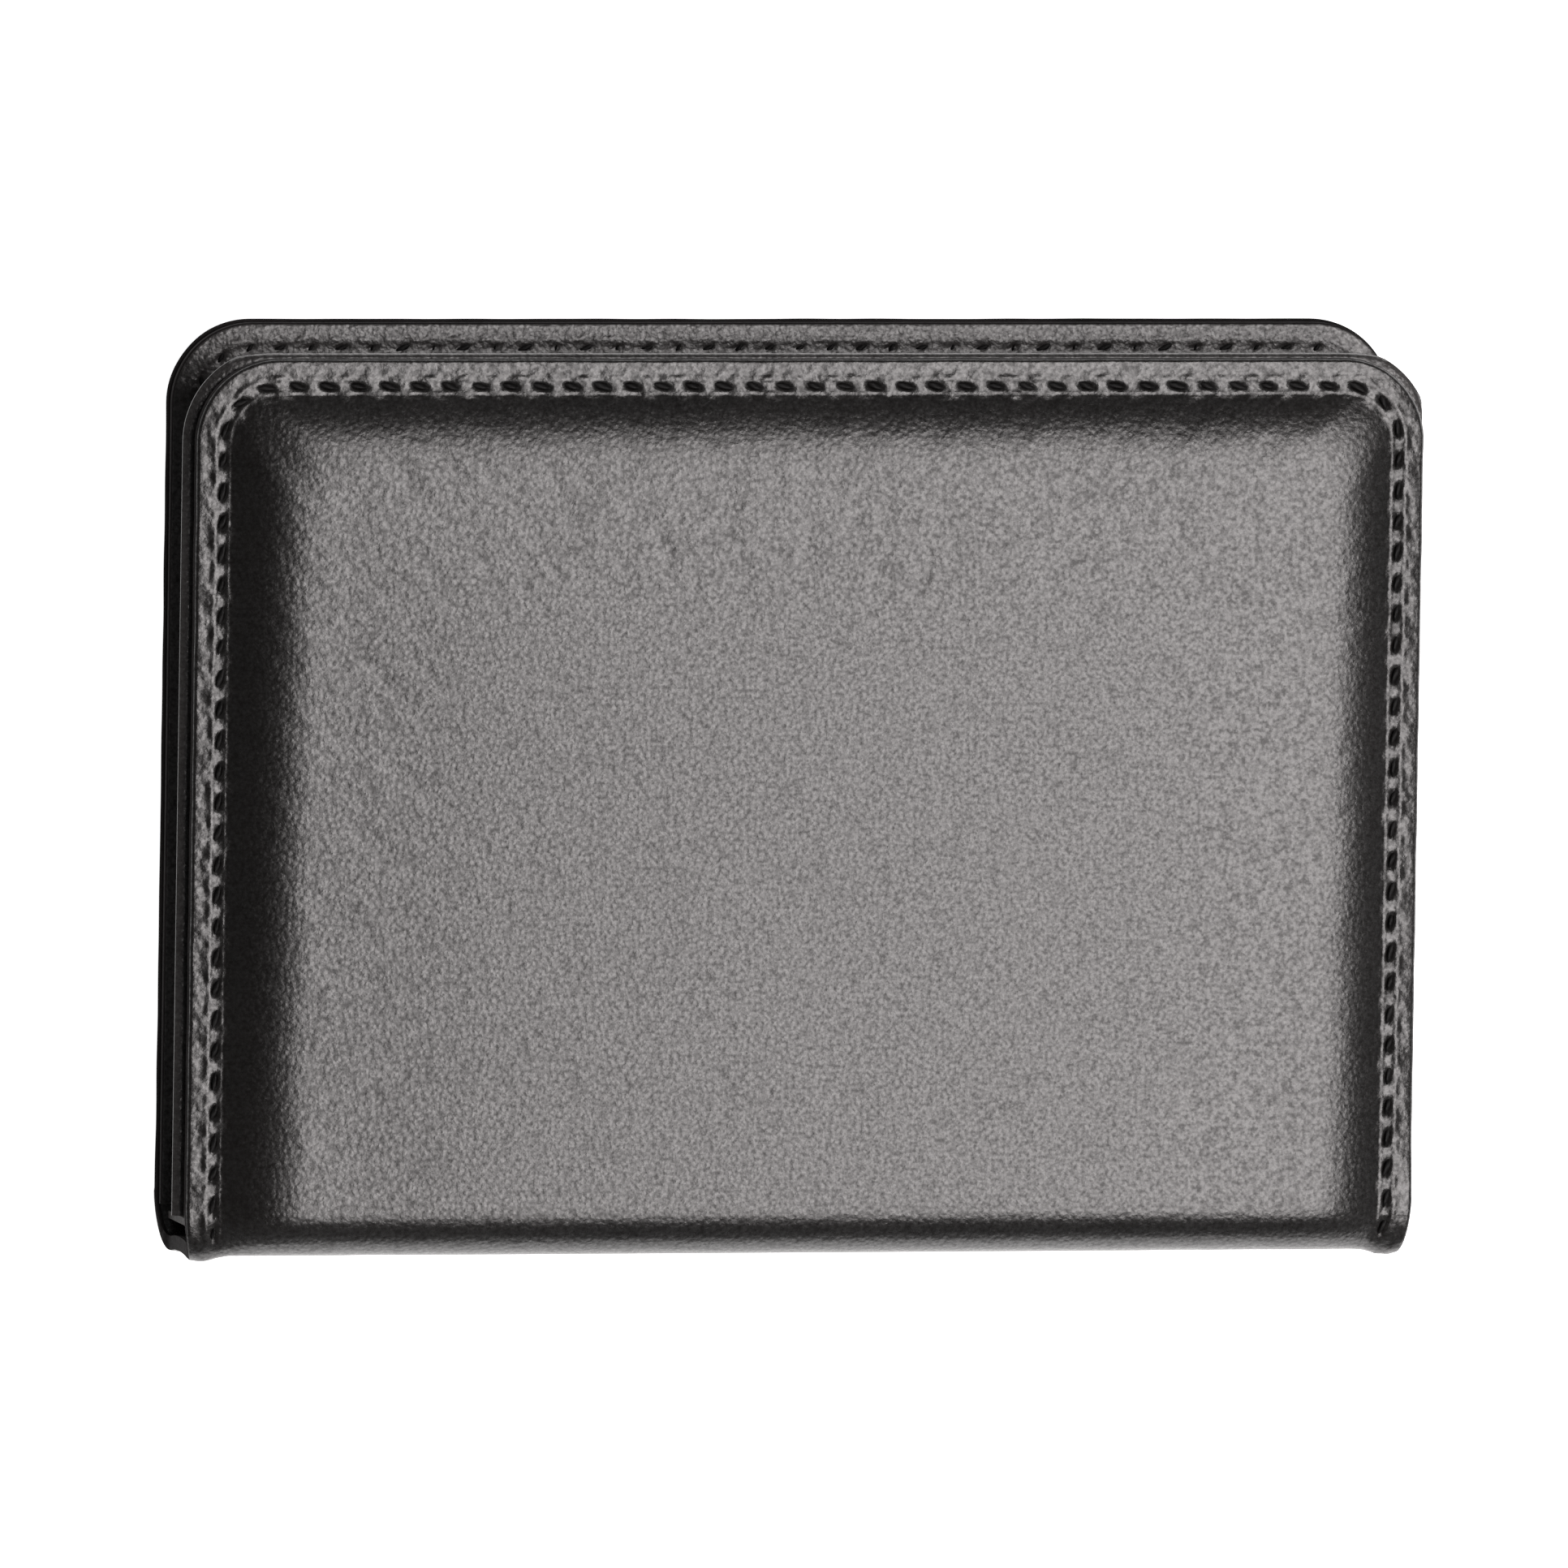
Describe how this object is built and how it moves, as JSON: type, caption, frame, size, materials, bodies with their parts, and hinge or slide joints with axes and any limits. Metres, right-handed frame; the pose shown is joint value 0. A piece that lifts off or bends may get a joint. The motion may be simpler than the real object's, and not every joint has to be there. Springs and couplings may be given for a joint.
{
  "type": "card wallet",
  "caption": "Folding black leather card wallet: padded, edge-stitched covers on a folding spine, a gusseted main pocket and stepped card slots inside.",
  "frame": {"origin": "middle of the closed wallet's footprint, on the surface that its rear leaf lies on", "axes": "+X along the spine, +Y from the spine to the opening edge, +Z from the rear leaf up to the front leaf"},
  "size_m": [0.105, 0.0776, 0.0175],
  "materials": {
    "black_leather": "fine-grained black leather, semi-gloss",
    "smooth_leather": "smooth black leather, satin",
    "black_lining": "thin black lining leather, matte",
    "grey_foam": "soft grey padding, matte",
    "grey_board": "grey bonded stiffening board, matte",
    "black_thread": "waxed black sewing thread"
  },
  "bodies": {
    "rear_leaf": {"rear_cover": "black_leather", "rear_foam_pad": "grey_foam", "rear_board": "grey_board", "rear_lining": "black_lining", "rear_stitching": "black_thread", "rear_inside_stitching": "black_thread", "pocket_gusset": "smooth_leather"},
    "pocket": {"pocket_panel": "smooth_leather", "pocket_lining": "black_lining", "pocket_stitching": "black_thread"},
    "spine": {"spine_cover": "black_leather", "spine_board": "grey_board", "spine_lining": "black_lining"},
    "front_leaf": {"front_cover": "black_leather", "front_foam_pad": "grey_foam", "front_board": "grey_board", "front_lining": "black_lining", "front_stitching": "black_thread", "front_inside_stitching": "black_thread", "upper_card_slot": "smooth_leather", "lower_card_slot": "smooth_leather"}
  },
  "joints": [
    {"name": "rear_fold", "type": "hinge", "parent": "rear_leaf", "child": "spine", "pos_m": [0, -0.03781, 0.00094], "axis": [1, 0, 0], "range_deg": [0, 90]},
    {"name": "front_fold", "type": "hinge", "parent": "spine", "child": "front_leaf", "pos_m": [0, -0.03781, 0.01656], "axis": [1, 0, 0], "range_deg": [0, 90]},
    {"name": "pocket_slide", "type": "slide", "parent": "rear_leaf", "child": "pocket", "axis": [0, 0, 1], "range_m": [-0.003, 0], "stiffness_N_per_m": 400, "deforming": ["pocket_gusset"]}
  ],
  "couplings": [
    {"joint": "front_fold", "follows": "rear_fold", "ratio": 1}
  ]
}
